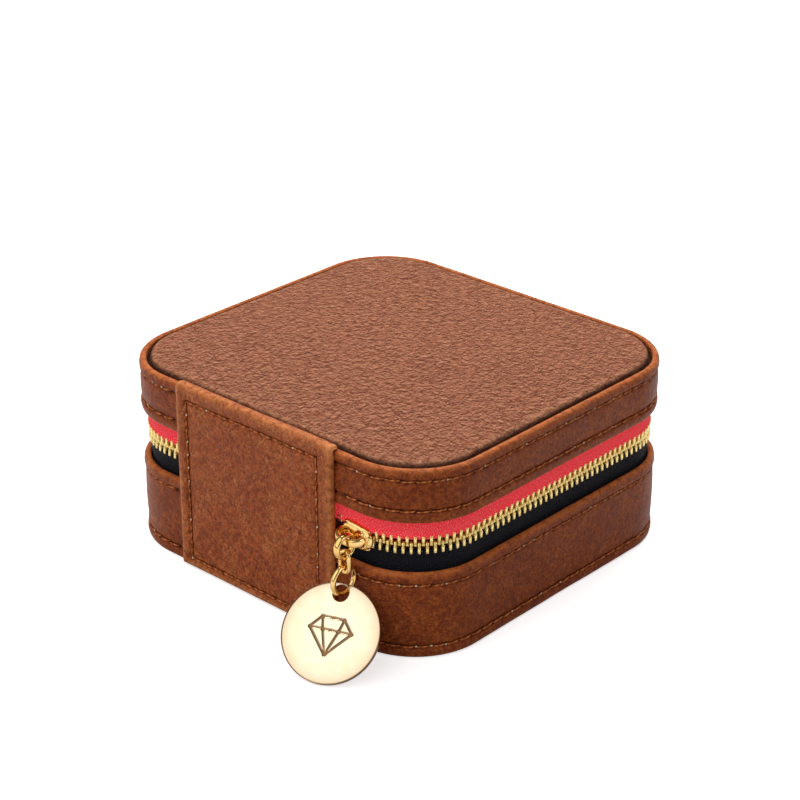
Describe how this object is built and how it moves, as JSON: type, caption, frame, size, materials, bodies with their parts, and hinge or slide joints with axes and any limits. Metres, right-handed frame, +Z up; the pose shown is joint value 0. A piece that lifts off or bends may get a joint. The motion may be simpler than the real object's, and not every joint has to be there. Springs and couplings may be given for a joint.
{
  "type": "leather jewellery case",
  "caption": "Square leather case with rounded corners, a zip round three sides, a leather hinge panel at the back and a round metal tag on the slider's chain.",
  "frame": {"origin": "middle of the underside, on the surface the case stands on", "axes": "+Z up, +Y out of the back where the hinge panel is, -Y out of the front, X along the hinge"},
  "size_m": [0.1, 0.1144, 0.0483],
  "materials": {
    "brown_leather": "fine-grained brown leather",
    "top_leather": "pebbled brown leather",
    "coral_tape": "woven polyester tape",
    "navy_tape": "woven polyester tape",
    "brass_teeth": "polished",
    "gold_plate": "polished gold plate",
    "board": "grey fibreboard",
    "lining_suede": "suede-like pile",
    "foam": "soft foam",
    "mirror": "silvered glass"
  },
  "bodies": {
    "base": {"base_side_band": "brown_leather", "base_bottom_panel": "brown_leather", "base_floor_board": "board", "base_wall_board": "board", "base_lining": "lining_suede", "hinge_panel_lower": "brown_leather", "lower_zip_tape": "navy_tape", "lower_zip_teeth": "brass_teeth", "upper_top_stop": "brass_teeth", "lower_top_stop": "brass_teeth", "zip_end_stop": "brass_teeth", "divider_long": "lining_suede", "divider_cross": "lining_suede", "ring_roll_board": "board", "ring_roll_1": "lining_suede", "ring_roll_2": "lining_suede", "ring_roll_3": "lining_suede", "ring_roll_4": "lining_suede"},
    "lid": {"lid_side_band": "brown_leather", "lid_top_panel": "top_leather", "lid_foam_pad": "foam", "lid_top_board": "board", "lid_wall_board": "board", "lid_lining": "lining_suede", "mirror_frame": "brown_leather", "mirror_glass": "mirror", "hinge_panel_upper": "brown_leather", "upper_zip_tape": "coral_tape", "upper_zip_teeth": "brass_teeth"},
    "slider": {"slider_body": "gold_plate", "slider_bridge": "gold_plate"},
    "pull_ring": {"pull_ring": "gold_plate"},
    "pull_link": {"pull_link": "gold_plate"},
    "tag_ring": {"tag_ring": "gold_plate"},
    "tag": {"tag_disc": "gold_plate"}
  },
  "joints": [
    {"name": "lid_hinge", "type": "hinge", "parent": "base", "child": "lid", "pos_m": [0, 0.04915, 0.028], "axis": [-1, 0, 0], "range_deg": [0, 100], "deforming": ["upper_zip_tape", "upper_zip_teeth"]},
    {"name": "zip_slider", "type": "hinge", "parent": "base", "child": "slider", "pos_m": [-0.0316, 0.02925, 0], "axis": [0, 0, 1], "range_deg": [0, 90], "deforming": ["lower_zip_teeth"]},
    {"name": "pull_ring_swing", "type": "hinge", "parent": "slider", "child": "pull_ring", "pos_m": [-0.0309, 0.05055, 0.0277], "axis": [1, 0, 0], "range_deg": [0, 90]},
    {"name": "pull_link_swing", "type": "hinge", "parent": "pull_ring", "child": "pull_link", "pos_m": [-0.0309, 0.0512, 0.0243], "axis": [0, 1, 0], "range_deg": [-35, 35]},
    {"name": "tag_ring_swing", "type": "hinge", "parent": "pull_link", "child": "tag_ring", "pos_m": [-0.0309, 0.0513, 0.02065], "axis": [1, 0, 0], "range_deg": [0, 45]},
    {"name": "tag_swing", "type": "hinge", "parent": "tag_ring", "child": "tag", "pos_m": [-0.0309, 0.0517, 0.01872], "axis": [1, 0, 0], "range_deg": [0, 60]}
  ]
}
